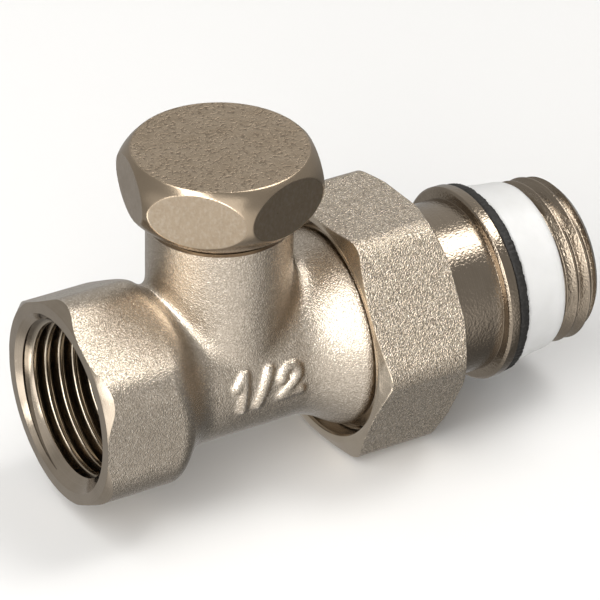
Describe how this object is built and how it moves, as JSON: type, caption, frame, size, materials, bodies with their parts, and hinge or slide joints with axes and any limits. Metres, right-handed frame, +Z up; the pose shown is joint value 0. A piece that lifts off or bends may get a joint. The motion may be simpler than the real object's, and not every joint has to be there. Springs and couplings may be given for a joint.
{
  "type": "manual radiator valve",
  "caption": "Straight manual radiator valve of plated brass: threaded inlet, hexagon cap over the regulating spindle, union nut and self-sealing threaded tail.",
  "frame": {"origin": "centre of the inlet face, on the pipe axis", "axes": "+X along the pipe from the inlet to the radiator end, +Z up along the spindle axis, +Y away from the front"},
  "size_m": [0.0697, 0.0332, 0.0438],
  "materials": {
    "forged_nickel": "nickel plated over a fine blasted forging skin",
    "cap_nickel": "nickel plated, turned and milled, grained top",
    "nut_nickel": "nickel plated over a coarse blasted skin",
    "turned_nickel": "nickel plated, turned",
    "bare_brass": "turned, unplated",
    "spring_steel": "phosphated spring steel",
    "seal_rubber": "matte",
    "black_rubber": "matte",
    "white_ptfe": "satin white"
  },
  "bodies": {
    "housing": {"valve_body": "forged_nickel", "spindle_snap_ring": "spring_steel"},
    "cap_seal": {"cap_seal_washer": "seal_rubber"},
    "cap": {"hex_cap": "cap_nickel"},
    "spindle_seals": {"spindle_o_ring_lower": "seal_rubber", "spindle_o_ring_upper": "seal_rubber", "seat_seal_ring": "seal_rubber"},
    "shutter": {"spindle": "bare_brass"},
    "preset_seal": {"preset_o_ring": "seal_rubber"},
    "preset": {"preset_screw": "bare_brass"},
    "tail": {"tailpiece": "turned_nickel", "nut_retaining_ring": "spring_steel", "union_o_ring": "seal_rubber", "rubber_ring": "black_rubber", "ptfe_ring": "white_ptfe"},
    "nut": {"union_nut": "nut_nickel"}
  },
  "joints": [
    {"name": "cap_lift", "type": "slide", "parent": "housing", "child": "cap_seal", "axis": [0, 0, 1], "range_m": [0, 0.0055]},
    {"name": "cap_turn", "type": "hinge", "parent": "cap_seal", "child": "cap", "pos_m": [0.02153, 0, 0.024], "axis": [0, 0, 1], "range_deg": [0, 1985]},
    {"name": "spindle_lift", "type": "slide", "parent": "housing", "child": "spindle_seals", "axis": [0, 0, 1], "range_m": [0, 0.0035]},
    {"name": "spindle_turn", "type": "hinge", "parent": "spindle_seals", "child": "shutter", "pos_m": [0.02153, 0, 0.01], "axis": [0, 0, 1], "range_deg": [0, 1265]},
    {"name": "preset_lift", "type": "slide", "parent": "shutter", "child": "preset_seal", "axis": [0, 0, 1], "range_m": [0, 0.002]},
    {"name": "preset_turn", "type": "hinge", "parent": "preset_seal", "child": "preset", "pos_m": [0.02153, 0, 0.01], "axis": [0, 0, 1], "range_deg": [0, 905]},
    {"name": "union_withdraw", "type": "slide", "parent": "housing", "child": "tail", "axis": [1, 0, 0], "range_m": [0, 0.006]},
    {"name": "union_nut_turn", "type": "hinge", "parent": "tail", "child": "nut", "pos_m": [0.041, 0, 0], "axis": [1, 0, 0], "range_deg": [0, 1196]}
  ],
  "couplings": [
    {"joint": "cap_turn", "follows": "cap_lift", "rad_per_m": 6283.2},
    {"joint": "spindle_turn", "follows": "spindle_lift", "rad_per_m": 6283.2},
    {"joint": "preset_turn", "follows": "preset_lift", "rad_per_m": 7854},
    {"joint": "union_nut_turn", "follows": "union_withdraw", "rad_per_m": 3463.7}
  ]
}
